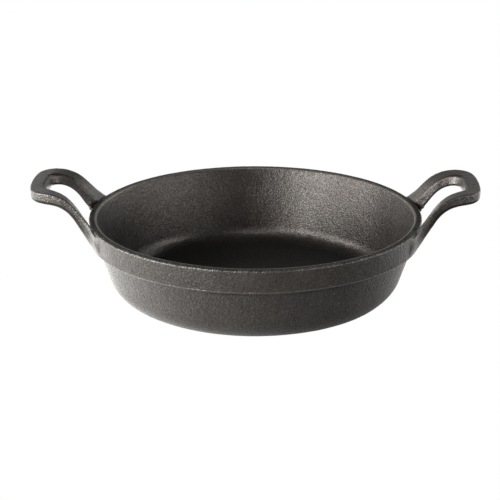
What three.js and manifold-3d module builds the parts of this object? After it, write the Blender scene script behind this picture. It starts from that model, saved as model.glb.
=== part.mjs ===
// Two-handled round cast iron pan. Millimetres, +Z up, origin at the centre of the underside
// of the flat base, X through the two handles. The pan is a single casting, built here as
// named regions: base, wall, rim band and two handles.
import * as THREE from "three";
import { mergeVertices } from "three/addons/utils/BufferGeometryUtils.js";
import Module from "manifold-3d";

const { degToRad, radToDeg } = THREE.MathUtils;

// ---- rim band ----
const RIM_RADIUS = 100; // outside of the rim at the top
const RIM_HEIGHT = 49; // top of the rim above the base plane
const RIM_EDGE_OUT = 1; // rounding of the rim's outer top edge
const RIM_EDGE_IN = 0.9; // rounding of its inner top edge
const RIM_EDGE_IN_END = 170; // degrees; the inner rounding stops short of vertical
const BAND_BOTTOM = 35.3; // underside of the thick band round the rim
const BAND_FOOT_RADIUS = 99.2; // outside of the band just above its underside
const BAND_CHAMFER = 0.5; // on the band's lower outer edge

// ---- wall and base ----
const WALL_DRAFT_OUT = 0.326; // radius gained per mm of height by the wall's outside
const WALL_DRAFT_IN = 0.299; // and by its inside, so the wall thickens towards the rim
const WALL_OUT_AT_BASE = 83.96; // outer wall line carried down to the base plane
const WALL_IN_AT_BASE = 80.72; // inner wall line carried down to the base plane
const FLOOR_THICK = 3.8;
const FLOOR_RADIUS = 68; // where the flat base region meets the wall region
const HEEL_RADIUS = 18.9; // outer rounding from base to wall
const FILLET_RADIUS = 12; // inner rounding from floor to wall
const LEDGE_FILLET = 3.2; // rounding in the corner under the band

// ---- handles ----
const SPLIT_X = 101; // a handle node starts here; its root stays with the band
const SLAB_INNER = 97.6; // where the handle slab starts, inside the band's thickness
const SLAB_ROOT_TOP = RIM_HEIGHT - 0.2; // slab's inner top, just below the rim
const SLAB_END = 138; // the swept slab runs past the outline, which trims it

// ---- divisions ----
const TURN_SEGMENTS = 96; // round the pan
const ARC_STEPS = { heel: 8, ledge: 4, fillet: 7, rimEdge: 3 };

// ---- cutting solids, all larger than the slab they cut ----
const OUTLINE_CUT = { bottom: 20, top: 90 };
const OPENING_CUT = { bottom: 10, top: 100 };
const SPLIT_CUT = { width: 300, height: 120, outerX: 160 };

// Handle slab section, an S swept round the pan: [radius, height], outwards along the underside.
const SLAB_UNDER = [
  [SLAB_INNER, BAND_BOTTOM], [BAND_FOOT_RADIUS, BAND_BOTTOM], [101.7, 40.15], [104, 44.35],
  [107, 49.45], [110, 54.3], [113, 57.75], [116, 59.85],
  [119, 61.1], [123, 61.8], [127, 62.1], [SLAB_END, 62.5],
];
// The same section, [radius, height], back inwards along the top.
const SLAB_TOP = [
  [SLAB_END, 69], [126, 68.9], [122, 68.5], [118, 67.4],
  [115, 66.05], [112, 64.1], [109, 61.2], [106, 57.35],
  [103, 52.95], [100.4, 49.1], [99.7, SLAB_ROOT_TOP], [SLAB_INNER, SLAB_ROOT_TOP],
];
// Half of the handle outline in plan: [x, half width along Y], ending on the X axis.
const HANDLE_OUTLINE = [
  [86, 44.8], [89.3, 43.9], [91.2, 42.3], [93.3, 38.7], [95.3, 35.3], [98.2, 32], [101.2, 30.6],
  [104, 29.7], [108, 29], [112, 28.4], [116, 27.7], [120, 26.9], [124, 25.9], [127.2, 24.4],
  [129.3, 22.5], [130.9, 20.1], [132.1, 17.3], [132.8, 14.1], [133.3, 9.6], [133.6, 4.8],
  [133.7, 0],
];
// Half of the finger opening in plan, same columns. Its inner end is closed by the pan's rim.
const FINGER_OPENING = [
  [92, 26.2], [95.6, 25.8], [96.8, 24.4], [98.4, 22.8], [101, 21.2], [104, 19.7], [107, 18.5],
  [110, 17.7], [114, 17.1], [118, 16.3], [120.6, 15.2], [122.4, 13.5], [123.6, 11.2],
  [124.1, 8.4], [124.2, 0],
];

const METALNESS = 0.35;
const BASE_LOOK = { color: 0x2c2a29, roughness: 0.62 };
const WALL_LOOK = { color: 0x33302f, roughness: 0.6 };
const BAND_LOOK = { color: 0x3a3735, roughness: 0.55 };
const HANDLE_LOOK = { color: 0x37342f, roughness: 0.58 };

const wasm = await Module();
wasm.setup();

// ---- solids and geometry ----

// Turns a closed geometry into a Manifold solid, using up the geometry.
function toSolid(geometry) {
  // Vertices weld only when position is all that tells them apart.
  geometry.deleteAttribute("normal");
  geometry.deleteAttribute("uv");
  const welded = mergeVertices(geometry, 1e-4);
  const mesh = new wasm.Mesh({
    numProp: 3,
    vertProperties: new Float32Array(welded.attributes.position.array),
    triVerts: new Uint32Array(welded.index.array),
  });
  return new wasm.Manifold(mesh);
}

// Flat-shaded geometry of a solid.
function toGeometry(solid) {
  const mesh = solid.getMesh();
  const indexed = new THREE.BufferGeometry();
  indexed.setAttribute("position", new THREE.BufferAttribute(mesh.vertProperties, 3));
  indexed.setIndex(new THREE.BufferAttribute(mesh.triVerts, 1));
  const flat = indexed.toNonIndexed();
  flat.computeVertexNormals();
  return flat;
}

// A right-hand (+X) solid turned half round the pan's axis, as geometry.
const oppositeGeometry = (solid) => toGeometry(solid).rotateZ(Math.PI);

// An anticlockwise [radius, height] loop turned about Z.
function turned(loop) {
  const points = loop.map(([radius, z]) => new THREE.Vector2(radius, z));
  // A loop with both ends on the axis needs no closing point.
  if (loop[0][0] !== 0 || loop.at(-1)[0] !== 0) points.push(points[0].clone());
  return toSolid(new THREE.LatheGeometry(points, TURN_SEGMENTS).rotateX(Math.PI / 2));
}

// A half outline ending on the X axis, mirrored across that axis and raised into a prism.
function prism(halfOutline, { bottom, top }) {
  const loop = [
    ...halfOutline.map(([x, y]) => new THREE.Vector2(x, -y)),
    ...halfOutline.slice(0, -1).reverse().map(([x, y]) => new THREE.Vector2(x, y)),
  ];
  const geometry = new THREE.ExtrudeGeometry(new THREE.Shape(loop), {
    depth: top - bottom,
    bevelEnabled: false,
    steps: 1,
  });
  return toSolid(geometry.translate(0, 0, bottom));
}

// A block from minX to maxX, centred on Y and standing on the base plane.
function splitBlock(minX, maxX) {
  const { width, height } = SPLIT_CUT;
  const geometry = new THREE.BoxGeometry(maxX - minX, width, height);
  return toSolid(geometry.translate((minX + maxX) / 2, 0, height / 2));
}

// [radius, height] points on an arc between two angles in degrees.
function arc(centreRadius, centreZ, size, startDeg, endDeg, steps) {
  return Array.from({ length: steps + 1 }, (_, i) => {
    const angle = degToRad(startDeg + ((endDeg - startDeg) * i) / steps);
    return [centreRadius + size * Math.cos(angle), centreZ + size * Math.sin(angle)];
  });
}

// ---- wall lines ----
const wallOut = (z) => WALL_OUT_AT_BASE + WALL_DRAFT_OUT * z;
const wallIn = (z) => WALL_IN_AT_BASE + WALL_DRAFT_IN * z;

// ---- pieces ----

// The flat floor disc.
function makeBase() {
  return turned([[0, 0], [FLOOR_RADIUS, 0], [FLOOR_RADIUS, FLOOR_THICK], [0, FLOOR_THICK]]);
}

// Heel, sloped side, and the inner fillet down to the floor. Each rounding touches a wall
// line, so its centre lies its radius times the line's slant away, measured level.
function makeWall() {
  const slantOut = Math.hypot(1, WALL_DRAFT_OUT);
  const slantIn = Math.hypot(1, WALL_DRAFT_IN);
  const tiltOut = radToDeg(Math.atan(WALL_DRAFT_OUT));
  const tiltIn = radToDeg(Math.atan(WALL_DRAFT_IN));

  const heelCentre = wallOut(HEEL_RADIUS) - HEEL_RADIUS * slantOut;
  const ledgeZ = BAND_BOTTOM - LEDGE_FILLET;
  const ledgeCentre = wallOut(ledgeZ) + LEDGE_FILLET * slantOut;
  const filletZ = FLOOR_THICK + FILLET_RADIUS;
  const filletCentre = wallIn(filletZ) - FILLET_RADIUS * slantIn;
  return turned([
    [FLOOR_RADIUS, 0],
    ...arc(heelCentre, HEEL_RADIUS, HEEL_RADIUS, -90, -tiltOut, ARC_STEPS.heel),
    ...arc(ledgeCentre, ledgeZ, LEDGE_FILLET, 180 - tiltOut, 90, ARC_STEPS.ledge),
    [wallIn(BAND_BOTTOM), BAND_BOTTOM],
    ...arc(filletCentre, filletZ, FILLET_RADIUS, -tiltIn, -90, ARC_STEPS.fillet),
    [FLOOR_RADIUS, FLOOR_THICK],
  ]);
}

// The right handle's whole slab, from inside the band to the tip.
function makeSlab() {
  return turned([...SLAB_UNDER, ...SLAB_TOP])
    .intersect(prism(HANDLE_OUTLINE, OUTLINE_CUT))
    .subtract(prism(FINGER_OPENING, OPENING_CUT));
}

// The rim ring, with the roots of both handles grown out of it.
function makeBand(slab) {
  const outerCentre = RIM_RADIUS - RIM_EDGE_OUT;
  const outerZ = RIM_HEIGHT - RIM_EDGE_OUT;
  const innerCentre = wallIn(RIM_HEIGHT) + RIM_EDGE_IN;
  const innerZ = RIM_HEIGHT - RIM_EDGE_IN;
  const ring = turned([
    [wallIn(BAND_BOTTOM), BAND_BOTTOM],
    [BAND_FOOT_RADIUS - BAND_CHAMFER, BAND_BOTTOM],
    [BAND_FOOT_RADIUS, BAND_BOTTOM + BAND_CHAMFER],
    ...arc(outerCentre, outerZ, RIM_EDGE_OUT, 0, 90, ARC_STEPS.rimEdge),
    ...arc(innerCentre, innerZ, RIM_EDGE_IN, 90, RIM_EDGE_IN_END, ARC_STEPS.rimEdge),
  ]);
  const inboard = splitBlock(-SPLIT_X, SPLIT_X);
  const slabs = [slab, toSolid(oppositeGeometry(slab))];
  return slabs.reduce((sum, one) => sum.add(one.intersect(inboard)), ring);
}

// ---- assembly ----
const group = new THREE.Group();
group.name = "two_handled_pan";

function addNode(name, geometry, look) {
  const material = new THREE.MeshStandardMaterial({ ...look, metalness: METALNESS });
  const mesh = new THREE.Mesh(geometry, material);
  mesh.name = name;
  group.add(mesh);
}

const slab = makeSlab();
const handle = slab.intersect(splitBlock(SPLIT_X, SPLIT_CUT.outerX));

addNode("pan_base", toGeometry(makeBase()), BASE_LOOK);
addNode("pan_wall", toGeometry(makeWall()), WALL_LOOK);
addNode("rim_band", toGeometry(makeBand(slab)), BAND_LOOK);
addNode("right_handle", toGeometry(handle), HANDLE_LOOK);
addNode("left_handle", oppositeGeometry(handle), HANDLE_LOOK);

export default group;
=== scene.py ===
"""Round two-handled cast iron pan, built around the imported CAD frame.

The pan stands on z = 0, centred on the origin, with its loop handles towards -X and +X. The camera
looks from the -Y side. Shapes are in millimetres until a mesh is made; the scene is in metres.

The whole casting is one distance function (bowl, rim band, handles, fillets, edge rounding and the
slight unevenness of a sand casting). Each region named in the CAD gets its own closed mesh from it,
and neighbouring regions meet on shared cuts, so the single casting shows no seam.
"""

import math
from functools import reduce
from types import SimpleNamespace

import bpy
import numpy as np
from mathutils import Matrix, Vector


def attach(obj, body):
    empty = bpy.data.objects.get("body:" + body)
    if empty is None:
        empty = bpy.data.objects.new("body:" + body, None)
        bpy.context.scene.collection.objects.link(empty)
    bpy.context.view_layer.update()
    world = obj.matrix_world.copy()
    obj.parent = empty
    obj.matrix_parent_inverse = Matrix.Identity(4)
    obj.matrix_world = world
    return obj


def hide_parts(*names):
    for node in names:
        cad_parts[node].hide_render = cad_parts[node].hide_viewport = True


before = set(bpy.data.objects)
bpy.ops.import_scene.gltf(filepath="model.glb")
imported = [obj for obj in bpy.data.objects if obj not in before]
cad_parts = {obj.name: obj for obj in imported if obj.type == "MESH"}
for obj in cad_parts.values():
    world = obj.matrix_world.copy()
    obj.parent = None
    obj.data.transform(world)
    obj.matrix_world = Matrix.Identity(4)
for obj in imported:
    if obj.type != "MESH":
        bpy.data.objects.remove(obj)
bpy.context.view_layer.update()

# ------------------------------------------------------------------ sizes (mm)
RIM_HEIGHT = 49.0
OUTER_DRAFT, INNER_DRAFT = 0.326, 0.299  # how far each wall face leans out per mm of height
OUTER_FOOT, INNER_FOOT = 83.96, 80.72  # wall radii carried down to z = 0
FLOOR_THICKNESS = 3.8
HEEL_RADIUS, FILLET_RADIUS = 18.9, 12.0  # outer and inner corner between wall and floor
WALL_TOP = 37.2  # the plain wall ends here, inside the band
BAND_BOTTOM = 35.3
BAND_RADIUS, BAND_RADIUS_HEIGHT, BAND_DRAFT = 99.25, 36.0, 0.055

# Cuts between the regions
SPLIT_Z = 36.6  # wall below, band above
SPLIT_X = 101.0  # handles beyond, either side
DISC_RADIUS = 68.0  # base inside, wall outside

# Handle faces as seen from the side: radius from the pan's axis, height
HANDLE_TOP = [
    (96.5, 43.4), (98.0, 45.8), (99.7, 48.35), (103, 53.0), (106, 57.43), (109, 61.31),
    (112, 64.22), (115, 66.19), (118, 67.5), (122, 68.6), (126, 69.0), (131, 69.05), (138, 69.0),
]
HANDLE_BOTTOM = [
    (96.5, 36.9), (99.4, 36.9), (100.4, 38.1), (101.7, 40.2), (104, 44.4), (107, 49.5),
    (110, 54.4), (113, 57.8), (116, 59.9), (119, 61.15), (123, 61.85), (127, 62.15), (138, 62.6),
]
# Half outlines of a handle and its opening as seen from above: |x|, |y|
HANDLE_OUTLINE = [
    (84, 45.2), (87.5, 44.3), (90.0, 43.0), (92, 40.4), (93.6, 37.3), (95.6, 34.2), (98, 31.9),
    (101, 30.35), (104, 29.3), (108, 28.6), (112, 28.0), (116, 27.35), (120, 26.5), (124, 25.45),
    (127, 24.0), (129, 22.2), (130.6, 19.9), (131.7, 17.2), (132.4, 14.0), (132.9, 9.5),
    (133.15, 4.8), (133.25, 0),
]
HANDLE_OPENING = [
    (90, 28.2), (93.0, 28.0), (95.4, 26.9), (96.9, 25.3), (98.4, 23.7), (101, 22.0), (104, 20.4),
    (107, 19.35), (110, 18.6), (114, 17.95), (118, 17.2), (121, 16.1), (123, 14.6), (124.5, 12.3),
    (125.2, 9.4), (125.4, 5.0), (125.45, 0),
]
HANDLE_ROOT = 97.2  # the handles start at this radius
HANDLE_MAX_Y = 49.0  # no part of a handle lies beyond this |y|

# Small lumps where the arms meet the band: x, y, z, radius
LUMPS = [
    (-101.1, 19.4, 45.2, 1.45), (-100.2, 20.3, 42.9, 1.0), (-102.6, 19.4, 48.2, 0.8),
    (-99.6, 19.6, 43.6, 0.9), (102.0, 19.4, 47.0, 1.45), (101.0, 20.3, 44.6, 1.0),
    (103.2, 19.2, 49.2, 0.8), (99.5, -21.4, 45.3, 1.0), (-99.6, -21.2, 44.6, 1.0),
    (101.0, -20.3, 48.2, 0.7), (-100.6, -20.4, 47.8, 0.7),
]

# Unevenness of the skin: feature size, seed, height
SLOW_WAVES = [(34.0, 11, 0.10), (13.0, 12, 0.055)]
FINE_WAVES = [(4.6, 13, 0.028), (2.1, 14, 0.020)]

CORNERS = np.array([(a, b, c) for a in (0, 1) for b in (0, 1) for c in (0, 1)])
EDGES = [(i, j) for i in range(8) for j in range(i + 1, 8)
         if np.abs(CORNERS[i] - CORNERS[j]).sum() == 1]


# ------------------------------------------------------------------ small maths
def ease(value, start, width):
    """0 up to start, then a straight rise to 1 over width."""
    return np.clip((value - start) / width, 0, 1)


def round_max(a, b, radius):
    """Intersection with its edge rounded to radius."""
    corner = np.hypot(np.maximum(a + radius, 0), np.maximum(b + radius, 0))
    return np.minimum(np.maximum(a, b), -radius) + corner


def smooth_min(a, b, width):
    """Union with a fillet about width across."""
    h = np.maximum(width - np.abs(a - b), 0) / width
    return np.minimum(a, b) - h * h * width / 4


def lattice(ix, iy, iz, seed):
    """A hash of each whole-number point, between -1 and 1. It relies on int64 wrapping round."""
    n = (ix * 73856093) ^ (iy * 19349663) ^ (iz * 83492791) ^ (seed * 2654435761)
    n = (n ^ (n >> 13)) & 0x7FFFFFFF
    n = (n * (n * n * 15731 + 789221) + 1376312589) & 0x7FFFFFFF
    return 1.0 - n / 1073741824.0


def noise(x, y, z, scale, seed):
    """Smooth value noise between -1 and 1 with features about scale mm across."""
    x, y, z = x / scale + 101.3, y / scale + 57.9, z / scale + 31.7
    i, j, k = np.floor(x), np.floor(y), np.floor(z)
    u, v, w = (t * t * t * (t * (t * 6 - 15) + 10) for t in (x - i, y - j, z - k))
    i, j, k = i.astype(np.int64), j.astype(np.int64), k.astype(np.int64)
    total = 0.0
    for a, b, c in CORNERS:
        weight = (u if a else 1 - u) * (v if b else 1 - v) * (w if c else 1 - w)
        total = total + weight * lattice(i + a, j + b, k + c, seed)
    return total


def waves(x, y, z, layers):
    return sum(noise(x, y, z, scale, seed) * height for scale, seed, height in layers)


# ------------------------------------------------------------------ handle tables
PROFILE_STEP = 0.05
PLAN_STEP = 0.14
PLAN_X0, PLAN_X1, PLAN_Y1 = 84.0, 138.0, 50.0
OUTLINE_PARTS = 6  # pieces each span of an outline is divided into


def handle_profile(stations, smoothing):
    """Even radii, with the height and slope of a monotone cubic through the stations.

    The heights are averaged over about the smoothing length, to take out the last kinks."""
    x, y = np.array(stations, float).T
    h, d = np.diff(x), np.diff(y) / np.diff(x)
    m = np.zeros(len(x))
    m[0], m[-1] = d[0], d[-1]
    for i in range(1, len(x) - 1):
        if d[i - 1] * d[i] > 0:
            w1, w2 = 2 * h[i] + h[i - 1], h[i] + 2 * h[i - 1]
            m[i] = (w1 + w2) / (w1 / d[i - 1] + w2 / d[i])
    radii = np.arange(x[0], x[-1] + PROFILE_STEP / 2, PROFILE_STEP)
    k = np.clip(np.searchsorted(x, radii, side="right") - 1, 0, len(x) - 2)
    t = (radii - x[k]) / h[k]
    ys = ((1 + 2 * t) * (1 - t) ** 2 * y[k] + t * (1 - t) ** 2 * h[k] * m[k]
          + t * t * (3 - 2 * t) * y[k + 1] + t * t * (t - 1) * h[k] * m[k + 1])

    pad = int(round(smoothing / PROFILE_STEP))
    kernel = np.hanning(2 * pad + 3)[1:-1]
    kernel /= kernel.sum()
    ys = np.concatenate([2 * ys[0] - ys[pad:0:-1], ys, 2 * ys[-1] - ys[-2:-pad - 2:-1]])
    heights = np.convolve(ys, kernel, "valid")
    return radii, heights, np.gradient(heights, PROFILE_STEP)


def read_profile(profile, r):
    radii, heights, slopes = profile
    return np.interp(r, radii, heights), np.interp(r, radii, slopes)


def outline_curve(outline):
    """A dense smooth curve through half-outline points, by Catmull-Rom on root chord length."""
    p = np.array(outline, float)
    p = np.vstack([p, [p[-2, 0], -p[-2, 1]]])  # carries on across y = 0, so the tip stays smooth
    chord = [np.linalg.norm(b - a) ** 0.5 for a, b in zip(p[:-1], p[1:])]
    curve = []
    for k in range(len(p) - 2):
        p1, p2, p3 = p[k:k + 3]
        d2, d3 = chord[k:k + 2]
        m1 = p2 - p1
        if k > 0:
            p0, d1 = p[k - 1], chord[k - 1]
            m1 = (p2 - p1) - (p2 - p0) * d2 / (d1 + d2) + (p1 - p0) * d2 / d1
        m2 = (p2 - p1) - (p3 - p1) * d2 / (d2 + d3) + (p3 - p2) * d2 / d3
        for t in np.arange(OUTLINE_PARTS) / OUTLINE_PARTS:
            curve.append((2 * t**3 - 3 * t**2 + 1) * p1 + (t**3 - 2 * t**2 + t) * m1
                         + (-2 * t**3 + 3 * t**2) * p2 + (t**3 - t**2) * m2)
    curve.append(p[-2])
    return np.array(curve)


def plan_table(outline):
    """Signed distance to a plan outline (negative inside) on an even grid of |x| and |y|."""
    curve = outline_curve(outline)
    xs = np.arange(PLAN_X0, PLAN_X1 + PLAN_STEP / 2, PLAN_STEP)
    ys = np.arange(0, PLAN_Y1 + PLAN_STEP / 2, PLAN_STEP)
    gx, gy = np.meshgrid(xs, ys, indexing="ij")
    nearest = np.full(gx.shape, 1e9)
    for a, b in zip(curve[:-1], curve[1:]):
        e = b - a
        ux, uy = gx - a[0], gy - a[1]
        t = np.clip((ux * e[0] + uy * e[1]) / (e @ e), 0, 1)
        nearest = np.minimum(nearest, (ux - t * e[0]) ** 2 + (uy - t * e[1]) ** 2)
    width = np.interp(gx, curve[:, 0], curve[:, 1], left=curve[0, 1], right=-1.0)
    distance = np.sqrt(nearest)
    return np.where(gy < width, -distance, distance)


def read_plan(table, x, y):
    u = np.clip((x - PLAN_X0) / PLAN_STEP, 0, table.shape[0] - 1.001)
    v = np.clip(y / PLAN_STEP, 0, table.shape[1] - 1.001)
    i, j = u.astype(np.int32), v.astype(np.int32)
    u, v = u - i, v - j
    return (table[i, j] * (1 - u) * (1 - v) + table[i + 1, j] * u * (1 - v)
            + table[i, j + 1] * (1 - u) * v + table[i + 1, j + 1] * u * v)


top_profile = handle_profile(HANDLE_TOP, smoothing=2.0)
bottom_profile = handle_profile(HANDLE_BOTTOM, smoothing=1.2)
outline_table, opening_table = plan_table(HANDLE_OUTLINE), plan_table(HANDLE_OPENING)


# ------------------------------------------------------------------ the casting's distance
def corner_centre(foot, level, radius, draft):
    """Where the rounding between a drafted wall and the plane at level has its centre."""
    return foot + draft * (level + radius) - radius * math.sqrt(1 + draft * draft), level + radius


def drafted_cup(r, z, foot, level, radius, draft):
    """Inside of a drafted wall standing on the plane at level, their corner rounded to radius."""
    wall = (r - foot - draft * z) / math.sqrt(1 + draft * draft)
    centre_r, centre_z = corner_centre(foot, level, radius, draft)
    dr, dz = r - centre_r, z - centre_z
    in_corner = (dr > 0) & (dz < -draft * dr)
    return np.where(in_corner, np.hypot(dr, dz) - radius, np.maximum(wall, level - z))


def pan_body(r, z):
    """Bowl and rim band, turned about the axis."""
    outer = drafted_cup(r, z, OUTER_FOOT, 0.0, HEEL_RADIUS, OUTER_DRAFT)
    outer = np.maximum(outer, z - WALL_TOP)
    band_face = r - (BAND_RADIUS + BAND_DRAFT * (z - BAND_RADIUS_HEIGHT))
    band = round_max(band_face, BAND_BOTTOM - z, radius=0.5)
    # a wide fillet below the band, hardly any inside it
    fillet = 0.5 + 3.3 * ease(BAND_BOTTOM + 0.4 - z, 0, 0.8)
    body = round_max(smooth_min(outer, band, fillet), z - RIM_HEIGHT, radius=1.0)
    hollow = drafted_cup(r, z, INNER_FOOT, FLOOR_THICKNESS, FILLET_RADIUS, INNER_DRAFT)
    return round_max(body, -hollow, radius=0.9)


def loop_handles(x, y, z, r):
    """Both handles, from |x| and |y|."""
    top, top_slope = read_profile(top_profile, r)
    top = top - 1.7 * ease(y, 32.5, 4.5)  # lower where the arms flare into the band
    bottom, bottom_slope = read_profile(bottom_profile, r)
    above = (z - top) / np.sqrt(1 + top_slope * top_slope)
    below = (bottom - z) / np.sqrt(1 + bottom_slope * bottom_slope)
    t = np.clip((z - bottom) / (top - bottom), 0, 1)
    # the sides lean with the height t through the handle
    outside = read_plan(outline_table, x, y) - 0.45 + 0.25 * (1 - t)
    opening = -(read_plan(opening_table, x, y) + 2.1 - 1.2 * t)
    top_inner_radius = 1.2 + 1.0 * ease(x, 117.0, 6.0)  # rounder towards the tip
    loop = np.maximum(
        np.maximum(round_max(above, outside, 0.95), round_max(above, opening, top_inner_radius)),
        np.maximum(round_max(below, outside, 2.2), round_max(below, opening, 1.7)))
    return np.maximum(loop, HANDLE_ROOT - r)


def casting(x, y, z):
    """Distance to the smooth casting, negative inside the iron."""
    r = np.hypot(x, y)
    body = pan_body(r, z)
    ax, ay = np.abs(x), np.abs(y)
    near = (ax > 84.5) & (z > 33.0) & (ay < HANDLE_MAX_Y)
    if near.any():
        loops = np.full(body.shape, 50.0, body.dtype)
        loops[near] = loop_handles(ax[near], ay[near], z[near], r[near])
        body = smooth_min(body, loops, 0.8)
        for lx, ly, lz, radius in LUMPS:
            zone = near & (np.abs(x - lx) < 5) & (np.abs(y - ly) < 5)
            if zone.any():
                dx, dy, dz = x[zone] - lx, y[zone] - ly, z[zone] - lz
                ball = np.sqrt(dx ** 2 + dy ** 2 + dz ** 2) - radius
                body[zone] = smooth_min(body[zone], ball, 0.9)
    return body


def rough_casting(x, y, z):
    """The casting with its unevenness. Positive noise stands out of the surface."""
    arms = ease(np.abs(x), 97.0, 8.0)  # the handles are rougher
    strength = 0.12 + 0.88 * ease(z, 0, 2.5)  # the underside is flatter
    slow = waves(x, y, z, SLOW_WAVES) * (1 + 1.0 * arms)
    fine = waves(x, y, z, FINE_WAVES) * (1 + 0.6 * arms)
    return casting(x, y, z) - strength * (slow + fine)


def gradient(points, e):
    """Slope of the rough casting at each point, from samples e to either side."""
    x, y, z = points.T
    f = rough_casting
    return np.stack([f(x + e, y, z) - f(x - e, y, z), f(x, y + e, z) - f(x, y - e, z),
                     f(x, y, z + e) - f(x, y, z - e)], 1) / (2 * e)


# ------------------------------------------------------------------ meshing
# The cut each point lies on, if any, and the axes it may still move along
FREE, ON_X, ON_Z, ON_R = 0, 1, 2, 3
MOVABLE = np.array([(1, 1, 1), (0, 1, 1), (1, 1, 0), (0, 0, 1)])


def blocks(count, size=40000):
    """Slices that keep the working arrays small."""
    return [slice(i, i + size) for i in range(0, count, size)]


def settle(points, kind, crossing, steps=4):
    """Moves the crossing points onto the rough surface, keeping points on a cut in the cut."""
    points = points.copy()
    moving = np.flatnonzero(crossing)
    for block in blocks(len(moving)):
        chosen = moving[block]
        q = points[chosen]
        for _ in range(steps):
            d = rough_casting(*q.T)
            g = gradient(q, 0.06) * MOVABLE[kind[chosen]]
            steepness = np.maximum((g * g).sum(1), 0.08)
            q = q - g * np.clip(d / steepness, -0.6, 0.6)[:, None]
        points[chosen] = q
    return points


def surface_net(field, cuts, origin, spacing):
    """Quads round the zero set of the field trimmed by the cuts, one point per crossed cell.

    Returns the points, the faces, for each cut which points' cells it passes, and which points'
    cells the field's own surface passes."""
    trimmed = field
    for cut in cuts:
        trimmed = np.maximum(trimmed, cut)
    inside = trimmed < 0
    nx, ny, nz = (size - 1 for size in inside.shape)
    filled = np.zeros((nx, ny, nz), np.uint8)
    for a, b, c in CORNERS:
        filled += inside[a:nx + a, b:ny + b, c:nz + c]
    cells = np.argwhere((filled > 0) & (filled < 8))
    index = np.full(filled.shape, -1, np.int32)
    index[tuple(cells.T)] = np.arange(len(cells))

    def at_corners(grid):
        grid = np.broadcast_to(grid, field.shape)
        return np.stack([grid[tuple((cells + corner).T)] for corner in CORNERS], 1)

    def passes(grid):
        values = at_corners(grid)
        return (values < 0).any(1) & (values >= 0).any(1)

    v = at_corners(trimmed).astype(np.float64)
    total, count = np.zeros((len(cells), 3)), np.zeros(len(cells))
    for i, j in EDGES:
        cross = (v[:, i] < 0) != (v[:, j] < 0)
        t = v[cross, i] / (v[cross, i] - v[cross, j])
        total[cross] += CORNERS[i] + t[:, None] * (CORNERS[j] - CORNERS[i])
        count[cross] += 1
    points = origin + spacing * (cells + total / count[:, None])

    faces = []
    for axis in range(3):
        o1, o2 = (axis + 1) % 3, (axis + 2) % 3
        lo, hi = [slice(None)] * 3, [slice(None)] * 3
        lo[axis], hi[axis] = slice(0, -1), slice(1, None)
        a, b = inside[tuple(lo)], inside[tuple(hi)]
        e = np.argwhere(a != b)
        e = e[(e[:, o1] > 0) & (e[:, o2] > 0)
              & (e[:, o1] < inside.shape[o1] - 1) & (e[:, o2] < inside.shape[o2] - 1)]
        d1, d2 = np.zeros(3, int), np.zeros(3, int)
        d1[o1], d2[o2] = 1, 1
        quad = np.stack([index[tuple(c.T)] for c in (e - d1 - d2, e - d2, e, e - d1)], 1)
        flip = ~a[tuple(e.T)]
        quad[flip] = quad[flip][:, ::-1]
        faces.append(quad)
    return points, np.concatenate(faces), [passes(cut) for cut in cuts], passes(field)


def finish_net(points, faces, kind, crossing):
    """Drops unused points, snaps the cut ones to their cuts and settles the rest."""
    used = np.unique(faces)
    remap = np.full(len(points), -1, np.int64)
    remap[used] = np.arange(len(used))
    points, faces, kind = points[used], remap[faces], kind[used]
    on_x, on_r = kind == ON_X, kind == ON_R
    points[on_x, 0] = np.sign(points[on_x, 0]) * SPLIT_X
    points[kind == ON_Z, 2] = SPLIT_Z
    radius = np.hypot(points[on_r, 0], points[on_r, 1])
    points[on_r, :2] *= (DISC_RADIUS / radius)[:, None]
    return settle(points, kind, crossing[used]), faces, kind


def unpinch(points, faces, kind):
    """Splits edges shared by four faces, where two folds of the skin meet.

    Each gets corners of its own, a hair apart, so that every edge has two faces."""
    pairs = np.stack([faces, np.roll(faces, -1, axis=1)], -1).reshape(-1, 2)
    key = np.sort(pairs, axis=1)
    key = key[:, 0].astype(np.int64) * len(points) + key[:, 1]
    values, counts = np.unique(key, return_counts=True)
    pinched = {(int(k // len(points)), int(k % len(points))) for k in values[counts > 2]}
    if not pinched:
        return points, faces, kind
    busy = {}
    for edge in pinched:
        for end in edge:
            busy[end] = busy.get(end, 0) + 1
    faces, extra, extra_kind = faces.copy(), [], []
    done = set()
    for u, v in sorted(pinched):
        c = u if busy[u] <= busy[v] else v
        if c in done:
            continue
        done.add(c)
        ring = [int(i) for i in np.where((faces == c).any(1))[0]]
        arms = {i: [int(faces[i][(j + turn) % 4]) for j in np.where(faces[i] == c)[0]
                    for turn in (1, 3)] for i in ring}
        # fans: the faces round the corner that hang together without crossing a pinched edge
        fans, left = [], set(ring)
        while left:
            fan, todo = set(), [min(left)]
            while todo:
                f = todo.pop()
                if f in fan:
                    continue
                fan.add(f)
                for w in arms[f]:
                    if (min(c, w), max(c, w)) not in pinched:
                        todo += [g for g in ring if g not in fan and w in arms[g]]
            fans.append(sorted(fan))
            left -= fan
        home = points[c].copy()
        for n, fan in enumerate(fans):
            middle = points[faces[fan]].mean((0, 1))
            spot = home + (middle - home) * 0.12
            if n == 0:
                points[c] = spot
                continue
            index = len(points) + len(extra)
            extra.append(spot)
            extra_kind.append(kind[c])
            for f in fan:
                faces[f][faces[f] == c] = index
    if extra:
        points = np.concatenate([points, np.array(extra, points.dtype)])
        kind = np.concatenate([kind, np.array(extra_kind, kind.dtype)])
    return points, faces, kind


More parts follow.
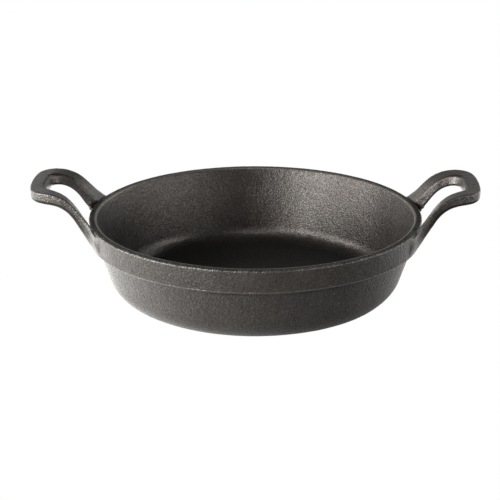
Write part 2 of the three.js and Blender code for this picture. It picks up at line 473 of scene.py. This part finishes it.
def cap_normals(centres, kind, facing):
    """Outward directions of faces on the cuts. facing gives the sign for each kind of cut."""
    x, y, _ = centres.T
    zero = np.zeros(len(x))
    r = np.maximum(np.hypot(x, y), 1e-9)
    away = {ON_X: (np.sign(x), zero, zero), ON_Z: (zero, zero, zero + 1),
            ON_R: (x / r, y / r, zero)}
    normals = np.zeros_like(centres)
    for cut, sign in facing.items():
        on_cut = kind == cut
        normals[on_cut] = np.stack(away[cut], 1)[on_cut] * sign
    return normals


def make_object(name, points, faces, kind, facing):
    """A closed mesh in metres. Shading follows the surface's own gradient; flat cuts stay flat."""
    points, faces, kind = unpinch(points.copy(), faces, kind)
    a, b, c, d = (points[faces[:, i]] for i in range(4))
    face_normal = np.cross(c - a, d - b)
    face_normal /= np.maximum(np.linalg.norm(face_normal, axis=1), 1e-12)[:, None]
    flat = cap_normals((a + b + c + d) / 4, kind[faces].max(1), facing)
    cap = (kind[faces] != FREE).all(1) & ((face_normal * flat).sum(1) > 0.8)
    normals = np.concatenate([gradient(points[part], 0.12) for part in blocks(len(points))])
    normals /= np.maximum(np.linalg.norm(normals, axis=1), 1e-9)[:, None]
    loop_normals = np.where(cap[:, None, None], flat[:, None, :], normals[faces])

    # how hollow the surface is at each point, sampled outside it, and how exposed, inside it
    reach_out, reach_in = 1.5, 1.2
    hollow, exposed = np.zeros(len(points), np.float32), np.zeros(len(points), np.float32)
    for part in blocks(len(points)):
        q, n = points[part], normals[part]
        hollow[part] = np.clip(1 - casting(*(q + n * reach_out).T) / reach_out, 0, 1)
        exposed[part] = np.clip(1 + casting(*(q - n * reach_in).T) / reach_in, 0, 1)

    mesh = bpy.data.meshes.new(name)
    mesh.vertices.add(len(points))
    mesh.vertices.foreach_set("co", (points / 1000.0).astype(np.float32).ravel())
    mesh.loops.add(faces.size)
    mesh.loops.foreach_set("vertex_index", faces.astype(np.int32).ravel())
    mesh.polygons.add(len(faces))
    mesh.polygons.foreach_set("loop_start", np.arange(0, faces.size, 4, dtype=np.int32))
    mesh.update(calc_edges=True)
    mesh.polygons.foreach_set("use_smooth", np.ones(len(faces), bool))
    mesh.normals_split_custom_set(loop_normals.reshape(-1, 3).astype(np.float32))
    mesh.validate()
    for label, values in (("hollow", hollow), ("exposed", exposed)):
        mesh.attributes.new(label, "FLOAT", "POINT").data.foreach_set("value", values)
    piece = bpy.data.objects.new(name, mesh)
    bpy.context.scene.collection.objects.link(piece)
    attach(piece, "root")
    return piece


# ------------------------------------------------------------------ regions
def band_and_handles():
    """The band and the two loops, from one grid, so their shared cuts match point for point."""
    cells_across = 360
    step = 2 * SPLIT_X / cells_across  # puts the cuts at x = +-SPLIT_X on cell centres
    reach_x, reach_y, reach_z = 136.0, 103.0, 71.5
    nx = int(round((reach_x - SPLIT_X) / step + 0.5))
    xs = np.concatenate([np.arange(-nx, cells_across) * step - SPLIT_X + 0.5 * step,
                         np.arange(nx) * step + SPLIT_X + 0.5 * step])
    ny = int(reach_y / step)
    ys = (np.arange(2 * ny) - ny + 0.5) * step
    zs = SPLIT_Z + (np.arange(int((reach_z - SPLIT_Z) / step) + 3) - 2.5) * step

    # the smooth casting is worked out for x > 0 only, then mirrored, though the lumps are not
    # symmetric: settling brings the points onto each side's own surface. Away from the iron
    # the value only has to stay positive.
    empty = 9.0
    half = xs[xs > 0]
    field = np.full((len(half), len(ys), len(zs)), empty, np.float32)
    for i, x in enumerate(half):
        r = np.hypot(x, ys)
        keep = (r > 88.0) & (r < 141.0) & ((np.abs(ys) < HANDLE_MAX_Y) | (r < reach_y))
        gz, gy = np.meshgrid(zs, ys[keep])
        occupied = (gz < 54.0) | (np.hypot(x, gy) > 100.0)
        values = np.full(gz.shape, empty)
        values[occupied] = casting(np.full(occupied.sum(), x), gy[occupied], gz[occupied])
        field[i, keep, :] = values
    field = np.concatenate([field[::-1], field], 0)

    shapes = {}
    below = (SPLIT_Z - zs)[None, None, :].astype(np.float32)
    beyond = (np.abs(xs) - SPLIT_X)[:, None, None].astype(np.float32)
    origin = np.array([xs[0], ys[0], zs[0]])
    points, faces, (on_z, on_x), crossing = surface_net(field, [below, beyond], origin, step)
    on_x &= np.abs(points[:, 2] - SPLIT_Z) > 0.51 * step  # where both cuts meet, z wins
    kind = np.where(on_x, ON_X, np.where(on_z, ON_Z, FREE))
    shapes["rim_band"] = finish_net(points, faces, kind, crossing)
    for name, side in (("left_handle", -1), ("right_handle", 1)):
        part = xs * side > 97.0
        within = (SPLIT_X - xs[part] * side)[:, None, None].astype(np.float32)
        origin = np.array([xs[part][0], ys[0], zs[0]])
        points, faces, (on_x,), crossing = surface_net(field[part], [within], origin, step)
        shapes[name] = finish_net(points, faces, np.where(on_x, ON_X, FREE), crossing)
    return shapes


def wall_ring():
    """The wall on an even polar grid.

    Its outline runs from the disc's edge under the heel, up outside to the band, in along the
    level cut, down the inside and back down the cut round the disc."""
    gap = 0.85
    columns = 640
    outline = []  # radius, height

    def line(a, b, spacing=gap):
        n = max(1, int(round(math.dist(a, b) / spacing)))
        outline.extend((a[0] + (b[0] - a[0]) * i / n, a[1] + (b[1] - a[1]) * i / n)
                       for i in range(n))

    def arc(centre, radius, start, end):
        n = max(2, int(round(abs(end - start) * radius / gap)))
        angles = [start + (end - start) * i / n for i in range(n)]
        outline.extend((centre[0] + radius * math.cos(angle), centre[1] + radius * math.sin(angle))
                       for angle in angles)

    def outer(z, extra=0.0):
        return OUTER_FOOT + OUTER_DRAFT * z + extra, z

    def inner(z):
        return INNER_FOOT + INNER_DRAFT * z, z

    heel = corner_centre(OUTER_FOOT, 0.0, HEEL_RADIUS, OUTER_DRAFT)
    fillet = corner_centre(INNER_FOOT, FLOOR_THICKNESS, FILLET_RADIUS, INNER_DRAFT)
    fillet_foot = (fillet[0], FLOOR_THICKNESS)
    # closer rows through the fillet under the band
    fillet_start = outer(BAND_BOTTOM - 5.0)
    fillet_middle = outer(BAND_BOTTOM - 1.3, extra=0.8)
    band_edge = (98.0, BAND_BOTTOM - 0.05)

    line((DISC_RADIUS, 0), (heel[0], 0))
    arc(heel, HEEL_RADIUS, -math.pi / 2, -math.atan(OUTER_DRAFT))
    line(outer(HEEL_RADIUS), fillet_start)
    line(fillet_start, fillet_middle, 0.45)
    line(fillet_middle, band_edge, 0.4)
    line(band_edge, (99.2, SPLIT_Z), 0.22)
    cut_start = len(outline)
    line((99.24, SPLIT_Z), inner(SPLIT_Z))
    cut_end = len(outline)
    line(inner(SPLIT_Z), inner(fillet[1]))
    arc(fillet, FILLET_RADIUS, -math.atan(INNER_DRAFT), -math.pi / 2)
    line(fillet_foot, (DISC_RADIUS, FLOOR_THICKNESS))
    disc_start = len(outline)
    line((DISC_RADIUS, FLOOR_THICKNESS), (DISC_RADIUS, 0))

    radii, heights = np.array(outline).T
    rows = len(outline)
    angles = np.arange(columns) * 2 * math.pi / columns
    points = np.stack([radii[:, None] * np.cos(angles), radii[:, None] * np.sin(angles),
                       np.repeat(heights[:, None], columns, 1)], 2).reshape(-1, 3)
    kind = np.full(rows, FREE)
    kind[cut_start:cut_end + 1] = ON_Z
    kind[disc_start:] = ON_R
    kind[0] = ON_R
    crossing = np.ones(rows, bool)  # rows within a cut stay where they are
    crossing[cut_start + 1:cut_end] = False
    crossing[disc_start + 1:] = False
    kind, crossing = np.repeat(kind, columns), np.repeat(crossing, columns)
    i, j = np.meshgrid(np.arange(rows), np.arange(columns), indexing="ij")
    row, next_row = i * columns, (i + 1) % rows * columns
    next_j = (j + 1) % columns
    faces = np.stack([row + j, row + next_j, next_row + next_j, next_row + j], 2).reshape(-1, 4)
    return settle(points, kind, crossing, steps=5), faces, kind


def base_disc():
    step = 0.9
    n = int(math.ceil((DISC_RADIUS + 2) / step))
    xs = (np.arange(2 * n) - n + 0.5) * step
    zs = np.arange(-1.3, FLOOR_THICKNESS + 1.6, step)
    gx, gy, gz = np.meshgrid(xs, xs, zs, indexing="ij")
    field = casting(gx.ravel(), gy.ravel(), gz.ravel()).reshape(gx.shape).astype(np.float32)
    cut = (np.hypot(gx, gy) - DISC_RADIUS).astype(np.float32)
    origin = np.array([xs[0], xs[0], zs[0]])
    points, faces, (on_r,), crossing = surface_net(field, [cut], origin, step)
    return finish_net(points, faces, np.where(on_r, ON_R, FREE), crossing)


# ------------------------------------------------------------------ shader graphs
class Graph:
    """An emptied node tree, with short ways to add to it. Inputs take sockets or values."""

    def __init__(self, owner):
        owner.use_nodes = True
        self.tree = owner.node_tree
        self.tree.nodes.clear()

    def node(self, kind, inputs=None, **settings):
        node = self.tree.nodes.new(kind)
        for name, value in settings.items():
            setattr(node, name, value)
        for key, value in (inputs or {}).items():
            if isinstance(value, bpy.types.NodeSocket):
                self.tree.links.new(value, node.inputs[key])
            else:
                node.inputs[key].default_value = value
        return node

    def math(self, operation, *values):
        inputs = dict(enumerate(values))
        return self.node("ShaderNodeMath", inputs, operation=operation).outputs[0]

    def add(self, a, b):
        return self.math("ADD", a, b)

    def mul(self, *values):
        return reduce(lambda a, b: self.math("MULTIPLY", a, b), values)

    def invert(self, mask):
        return self.math("SUBTRACT", 1.0, mask)

    def lower(self, value, mask, by):
        """value, less the share given by by where mask is 1."""
        return self.mul(value, self.invert(self.mul(mask, by)))

    def lift(self, value, mask, by):
        """value, plus the share given by by where mask is 1."""
        return self.mul(value, self.add(self.mul(mask, by), 1.0))

    def rise(self, value, start, end):
        """Smoothly from 0 at start to 1 at end."""
        inputs = {"Value": value, "From Min": start, "From Max": end}
        node = self.node("ShaderNodeMapRange", inputs, interpolation_type="SMOOTHSTEP")
        return node.outputs["Result"]

    def fall(self, value, start, end):
        return self.invert(self.rise(value, start, end))

    def within(self, value, low, high):
        """1 between low and high, with hard ends."""
        above = self.math("GREATER_THAN", value, low)
        return self.mul(above, self.math("LESS_THAN", value, high))

    def split(self, vector):
        return self.node("ShaderNodeSeparateXYZ", {0: vector}).outputs

    def radius(self, x, y):
        return self.math("SQRT", self.add(self.mul(x, x), self.mul(y, y)))

    def ramp(self, source, *stops):
        """Each stop is a position and a colour, or a position and a grey level."""
        node = self.node("ShaderNodeValToRGB", {0: source})
        colours = [(*c, 1) if isinstance(c, tuple) else (c, c, c, 1) for _, c in stops]
        elements = node.color_ramp.elements
        for i in (0, -1):
            elements[i].position, elements[i].color = stops[i][0], colours[i]
        for (position, _), colour in zip(stops[1:-1], colours[1:-1]):
            elements.new(position).color = colour
        return node.outputs["Color"]

    def mix(self, factor, a, b):
        node = self.node("ShaderNodeMix", {0: factor, 6: a, 7: b}, data_type="RGBA")
        return node.outputs[2]

    def output(self, kind, surface):
        self.node(kind, {"Surface": surface})

    def by_ray(self, other, camera):
        """One shader for camera rays and another for all others."""
        is_camera = self.node("ShaderNodeLightPath").outputs["Is Camera Ray"]
        inputs = {0: is_camera, 1: other.outputs[0], 2: camera.outputs[0]}
        return self.node("ShaderNodeMixShader", inputs).outputs[0]


# ------------------------------------------------------------------ cast iron (metres)
GRAIN_DEPTH = 0.00042


def iron_patterns(g):
    """Noises and masks that the iron's colour, shine and relief share."""
    where = g.node("ShaderNodeTexCoord").outputs["Object"]
    m = SimpleNamespace()

    def noise_texture(scale, detail, roughness, distortion=0.0):
        return g.node("ShaderNodeTexNoise", {
            "Vector": where, "Scale": scale, "Detail": detail, "Roughness": roughness,
            "Distortion": distortion}).outputs["Fac"]

    def mesh_value(name):
        return g.node("ShaderNodeAttribute", attribute_name=name).outputs["Fac"]

    # painted shade: how deep in a hollow the surface lies, for dulling the shine there
    m.in_hollow = g.ramp(mesh_value("hollow"), (0.10, 0), (0.55, 1))
    m.on_edge = g.ramp(mesh_value("exposed"), (0.07, 0), (0.26, 1))

    # sand grain in several sizes, shallow pits, and slow cloudiness
    m.grain = noise_texture(scale=1050.0, detail=1.5, roughness=0.5)
    m.speck = noise_texture(scale=1350.0, detail=1.0, roughness=0.5, distortion=0.4)
    m.coarse = noise_texture(scale=430.0, detail=2.0, roughness=0.5)
    pits = g.node("ShaderNodeTexVoronoi", {"Vector": where, "Scale": 520.0, "Randomness": 1.0})
    m.pit = g.ramp(pits.outputs["Distance"], (0.0, 0), (0.30, 1))
    patch = noise_texture(scale=24.0, detail=4.0, roughness=0.6)
    cloud = noise_texture(scale=85.0, detail=3.0, roughness=0.6)
    m.tone = g.add(g.mul(patch, 0.55), g.mul(cloud, 0.45))

    m.x, m.y, m.height = g.split(where)
    m.radius = g.radius(m.x, m.y)
    m.facing_x, m.facing_y, m.facing_z = g.split(
        g.node("ShaderNodeNewGeometry").outputs["Normal"])

    # 1 on skin that faces away from the axis, 0 in the bowl
    along = g.add(g.mul(m.facing_x, m.x), g.mul(m.facing_y, m.y))
    m.outward = g.rise(g.math("DIVIDE", along, m.radius), -0.25, 0.35)
    # the bowl's corner, just above its floor, where a highlight is painted
    corner = g.mul(g.rise(m.height, 0.0046, 0.0062), g.fall(m.height, 0.0085, 0.0115))
    m.pooled = g.mul(corner, g.invert(m.outward))
    # downward faces of the arms, which get painted shade
    downward = g.rise(g.mul(m.facing_z, -1.0), 0.03, 0.22)
    m.beneath = g.mul(downward, g.rise(m.radius, 0.1005, 0.1060))
    m.under = g.mul(m.beneath, 1.08)
    return m


def iron_relief(g, m):
    """Grain that is deeper outside than in the bowl."""
    relief = g.add(g.mul(m.grain, 1.0), g.mul(m.coarse, 0.9))
    relief = g.add(relief, g.mul(m.pit, 0.10))
    band_face = g.mul(g.within(m.radius, 0.0986, 0.1016), g.within(m.height, 0.0362, 0.0480))
    depth = g.add(g.mul(m.outward, 1.12), 0.42)
    # less grain where the fillet highlight is painted
    depth = g.lower(depth, m.pooled, by=0.40)
    depth = g.lower(depth, band_face, by=0.62)
    depth = g.lower(depth, g.rise(m.radius, 0.1010, 0.1030), by=0.30)  # the handles
    inputs = {"Strength": 1.0, "Distance": g.mul(depth, GRAIN_DEPTH), "Height": relief}
    return g.node("ShaderNodeBump", inputs).outputs["Normal"]


def iron_wear_and_highlights(g, m):
    """Edges rubbed pale, speck by speck, partly wear and partly painted highlight, with a painted
    highlight along the rim's inner edge.
    """
    # painted highlight along the rim's inner edge, weaker towards +X
    lip_highlight = g.mul(g.rise(m.radius, 0.09515, 0.09545), g.fall(m.radius, 0.09620, 0.09675))
    lip_highlight = g.mul(lip_highlight, g.rise(m.height, 0.0478, 0.0486), 5.2)
    lip_highlight = g.lower(lip_highlight, g.rise(m.x, 0.020, 0.080), by=0.40)
    edge = g.lower(m.on_edge, g.rise(m.radius, 0.1035, 0.1060), by=0.62)  # less on the handles
    # less wear and painted highlight on the band's foot towards -X, and none beneath the arms
    foot = g.mul(g.fall(m.height, 0.0362, 0.0372), g.rise(g.mul(m.x, -1.0), 0.062, 0.080))
    edge = g.lower(edge, foot, by=0.85)
    edge = g.mul(edge, g.invert(m.beneath))
    return g.mul(g.math("MAXIMUM", edge, lip_highlight), g.ramp(m.speck, (0.34, 0.40), (0.68, 1)))


def iron_colour(g, m, wear_and_highlight):
    """Near-black, a shade browner and greyer in patches, paler on worn edges and painted edge
    highlights.
    """
    colour = g.ramp(m.tone, (0.32, (0.0100, 0.0086, 0.0078)), (0.5, (0.0135, 0.0120, 0.0110)),
                    (0.68, (0.0190, 0.0166, 0.0148)))
    # pale colour for worn edges and the painted edge highlights
    pale_wear_and_highlight, bed_black = (0.050, 0.046, 0.042, 1), (0.0108, 0.0107, 0.0106, 1)
    colour = g.mix(wear_and_highlight, colour, pale_wear_and_highlight)
    bed = g.mul(g.fall(m.height, 0.0041, 0.0060), g.fall(m.radius, 0.070, 0.078))
    return g.mix(bed, colour, bed_black)


def iron_painted_shade(g, m):
    """Painted shade: the shine is dulled under the band, under the arms and on the rim's flat top.
    """
    # painted shade in the corner just under the band
    corner = g.mul(g.rise(m.height, 0.0316, 0.0340), g.math("LESS_THAN", m.height, 0.0353),
                   m.outward)
    # painted shade on the rim's flat top
    top = g.mul(g.rise(m.height, 0.0484, 0.0488), g.rise(m.facing_z, 0.80, 0.97),
                g.math("LESS_THAN", m.radius, 0.1005))
    top = g.mul(top, g.ramp(m.speck, (0.50, 1), (0.66, 0.2)))  # broken by bright specks
    lower_parts = g.math("MAXIMUM", g.mul(m.under, 0.85), g.mul(top, 0.95))
    return g.math("MAXIMUM", g.mul(corner, 0.85), lower_parts)


def iron_shine(g, m, wear_and_highlight):
    """Specular level: grain by grain, with painted shade in hollows and beneath, painted light on
    the loops and the back arms, and brighter worn edges that carry painted highlights.
    """
    shine = g.ramp(m.speck, (0.30, 0.28), (0.5, 0.54), (0.70, 0.95))
    shine = g.mul(shine, g.ramp(m.tone, (0.32, 0.90), (0.68, 1.10)))
    # painted shade in hollows
    shine = g.lower(shine, m.in_hollow, by=0.55)
    # painted shade under the band, under the arms and on the rim's flat top
    shine = g.mul(shine, g.invert(iron_painted_shade(g, m)))
    shine = g.mul(shine, g.add(g.mul(m.outward, 0.15), 0.85))  # the bowl is a little duller
    # so are the arms near their roots, except on top
    roots = g.mul(g.rise(m.radius, 0.1012, 0.1030), g.fall(m.radius, 0.1120, 0.1220))
    roots = g.mul(roots, g.fall(m.facing_z, 0.35, 0.75))
    shine = g.lower(shine, roots, by=0.28)
    # painted highlight along the bowl's corner
    shine = g.lift(shine, m.pooled, by=0.62)
    # painted light: the loops are brighter, and so are the inner faces of the +Y arms
    loops = g.mul(g.rise(m.radius, 0.1100, 0.1220), g.invert(m.under))
    shine = g.lift(shine, loops, by=0.42)
    back_arm_painted_light = g.mul(g.rise(g.mul(m.facing_y, -1.0), 0.25, 0.65), g.rise(m.y, 0.006, 0.012))
    back_arm_painted_light = g.mul(back_arm_painted_light, g.rise(m.radius, 0.1010, 0.1040), g.invert(m.under))
    shine = g.lift(shine, back_arm_painted_light, by=0.18)
    # brighter on worn edges and painted highlights
    return g.add(shine, g.mul(wear_and_highlight, 0.36))


def cast_iron():
    material = bpy.data.materials.new("seasoned_cast_iron")
    g = Graph(material)
    m = iron_patterns(g)
    # worn edges and painted edge highlights
    wear_and_highlight = iron_wear_and_highlights(g, m)
    rough = g.add(g.mul(m.tone, 0.12), 0.235)
    rough = g.add(rough, g.mul(m.grain, 0.06))
    rough = g.add(rough, g.mul(g.invert(m.outward), 0.035))
    # reflections are a shade browner in the bowl than outside
    outside_tint = g.ramp(m.tone, (0.34, (1.0, 0.925, 0.880)), (0.5, (1.0, 0.960, 0.930)),
                          (0.66, (1.0, 0.980, 0.965)))
    bowl_tint = g.ramp(m.tone, (0.34, (1.0, 0.885, 0.835)), (0.5, (1.0, 0.935, 0.897)),
                       (0.66, (1.0, 0.962, 0.940)))
    iron = g.node("ShaderNodeBsdfPrincipled", {
        "Metallic": 0.0,
        "IOR": 1.5,
        "Base Color": iron_colour(g, m, wear_and_highlight),
        "Roughness": rough,
        "Specular IOR Level": iron_shine(g, m, wear_and_highlight),
        "Specular Tint": g.mix(m.outward, bowl_tint, outside_tint),
        "Normal": iron_relief(g, m),
    })
    g.output("ShaderNodeOutputMaterial", iron.outputs[0])
    return material


# ------------------------------------------------------------------ pieces
# Which way each piece's cuts face: +1 is away from the pan's middle, or up for ON_Z
CUT_FACING = {
    "rim_band": {ON_X: 1, ON_Z: -1},
    "left_handle": {ON_X: -1},
    "right_handle": {ON_X: -1},
    "pan_wall": {ON_Z: 1, ON_R: -1},
    "pan_base": {ON_R: 1},
}


def build_pan():
    iron = cast_iron()
    shapes = {**band_and_handles(), "pan_wall": wall_ring(), "pan_base": base_disc()}
    pieces = {name: make_object("cast_" + name, *shape, CUT_FACING[name])
              for name, shape in shapes.items()}
    for name, piece in pieces.items():
        piece.data.materials.append(iron)
        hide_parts(name)


# ------------------------------------------------------------------ floor, lights, world
PAPER_LEVEL = 1.73  # the paper's mean brightness as the pan sees it
PAPER_FALL = 0.83  # how far it swings above and below that, as a share
PAPER_BRIGHTEST = -140  # the azimuth where it is brightest, at the back left
PAPER_HALF, PAPER_Z = 3, -0.0002
WARM_WHITE = (1.0, 0.985, 0.955)

# Soft boxes all round, by elevation: the radiance of each, evenly spaced from azimuth -180 on
RINGS = {
    8: [0.52, 0.88, 3.12, 2.07, 11.86, 9.67, 18.75, 4.28,
        0, 0.61, 3.44, 5.36, 2.64, 2.49, 2.48, 0.62],
    30: [0.28, 0.5, 0, 0, 7.33, 3.93, 10.57, 2.35, 0, 0, 0.41, 0, 4.24, 0, 1.8, 0.18],
    55: [0, 0, 0, 0, 0, 0.61, 2.5, 0, 0, 0, 0, 0],
}
RING_DISTANCE, BOX_HEIGHT = 1.5, 0.56
LIGHT_AIM_Z = 0.03


def bearing(azimuth):
    """The x and y of an azimuth in degrees. 0 is the camera's side (-Y), 90 is +X."""
    return math.sin(math.radians(azimuth)), -math.cos(math.radians(azimuth))


def floor_material():
    """Paper that is white to the camera and lights the pan with one soft fall across it."""
    material = bpy.data.materials.new("studio_floor")
    g = Graph(material)
    x, y, _ = g.split(g.node("ShaderNodeTexCoord").outputs["Object"])
    radius = g.radius(x, y)
    bright_x, bright_y = bearing(PAPER_BRIGHTEST)
    across = g.add(g.mul(x, bright_x), g.mul(y, bright_y))
    swing = g.mul(g.math("DIVIDE", across, g.math("MAXIMUM", radius, 1e-4)), PAPER_FALL)
    level = g.mul(g.add(swing, 1.0), PAPER_LEVEL)
    # painted shadow: no glow right under the pan, and none beyond the outer edge
    lit = g.mul(g.math("LESS_THAN", radius, 1.5), g.rise(radius, 0.050, 0.072))
    glow = g.node("ShaderNodeEmission", {"Color": (*WARM_WHITE, 1), "Strength": g.mul(level, lit)})
    white = g.node("ShaderNodeEmission", {"Color": (1, 1, 1, 1), "Strength": 1.0})
    g.output("ShaderNodeOutputMaterial", g.by_ray(other=glow, camera=white))
    return material


def build_floor():
    mesh = bpy.data.meshes.new("studio_floor")
    corners = [(-1, -1), (1, -1), (1, 1), (-1, 1)]
    mesh.from_pydata([(x * PAPER_HALF, y * PAPER_HALF, PAPER_Z) for x, y in corners],
                     [], [(0, 1, 2, 3)])
    floor = bpy.data.objects.new("studio_floor", mesh)
    bpy.context.scene.collection.objects.link(floor)
    floor.data.materials.append(floor_material())


def area_light(name, azimuth, elevation, distance, width, height, radiance):
    """A soft panel that faces the pan."""
    x, y = bearing(azimuth)
    e = math.radians(elevation)
    away = Vector((x * math.cos(e), y * math.cos(e), math.sin(e)))
    data = bpy.data.lights.new(name, "AREA")
    data.shape = "RECTANGLE"
    data.size, data.size_y = width, height
    data.energy = radiance * math.pi * width * height
    data.color = WARM_WHITE
    light = bpy.data.objects.new(name, data)
    light.location = Vector((0, 0, LIGHT_AIM_Z)) + away * distance
    light.rotation_mode = "QUATERNION"
    light.rotation_quaternion = (-away).to_track_quat("-Z", "Y")
    bpy.context.scene.collection.objects.link(light)
    light.visible_camera = False


def build_lights():
    for elevation, radiances in RINGS.items():
        n = len(radiances)
        lean = math.cos(math.radians(elevation))
        width = 2 * RING_DISTANCE * math.tan(math.pi / n) * lean  # the boxes meet edge to edge
        for i, radiance in enumerate(radiances):
            if radiance > 0:
                area_light(f"box_{elevation}_{i}", i * 360 / n - 180, elevation, RING_DISTANCE,
                           width, BOX_HEIGHT, radiance)
    area_light("low_strip", azimuth=140, elevation=3.0, distance=1.6,
               width=1.2, height=0.13, radiance=1.1)


def build_world():
    """White to the camera, and no light of its own."""
    world = bpy.data.worlds.new("studio")
    bpy.context.scene.world = world
    g = Graph(world)
    seen, dark = (g.node("ShaderNodeBackground", {"Color": (1, 1, 1, 1), "Strength": strength})
                  for strength in (1.0, 0.0))
    g.output("ShaderNodeOutputWorld", g.by_ray(other=dark, camera=seen))


# ------------------------------------------------------------------ camera
ELEVATION, YAW, ROLL = math.radians(19.742), math.radians(0.926), math.radians(-0.079)
CAMERA_DISTANCE, AIM_Z, SHIFT_X = 0.900, 0.025306, -0.003219
SENSOR_WIDTH, LENS = 36.0, 106.649018  # mm


def turned(v):
    """The vector turned by the yaw about the pan's axis."""
    return Vector((v.x * math.cos(YAW) - v.y * math.sin(YAW),
                   v.x * math.sin(YAW) + v.y * math.cos(YAW), v.z))


def build_camera():
    cos_e, sin_e = math.cos(ELEVATION), math.sin(ELEVATION)
    place = Vector((SHIFT_X, -CAMERA_DISTANCE * cos_e, AIM_Z + CAMERA_DISTANCE * sin_e))
    forward, up, right = Vector((0, cos_e, -sin_e)), Vector((0, sin_e, cos_e)), Vector((1, 0, 0))
    right, up = (right * math.cos(ROLL) + up * math.sin(ROLL),
                 up * math.cos(ROLL) - right * math.sin(ROLL))
    columns = turned(right), turned(up), -turned(forward), turned(place)
    data = bpy.data.cameras.new("camera")
    data.sensor_width = SENSOR_WIDTH
    data.lens = LENS
    data.clip_start, data.clip_end = 0.01, 50.0
    camera = bpy.data.objects.new("camera", data)
    bpy.context.scene.collection.objects.link(camera)
    camera.matrix_world = Matrix([*zip(*columns), (0, 0, 0, 1)])
    bpy.context.scene.camera = camera


build_pan()
build_floor()
build_lights()
build_world()
bpy.context.scene.view_settings.view_transform = "Standard"
build_camera()
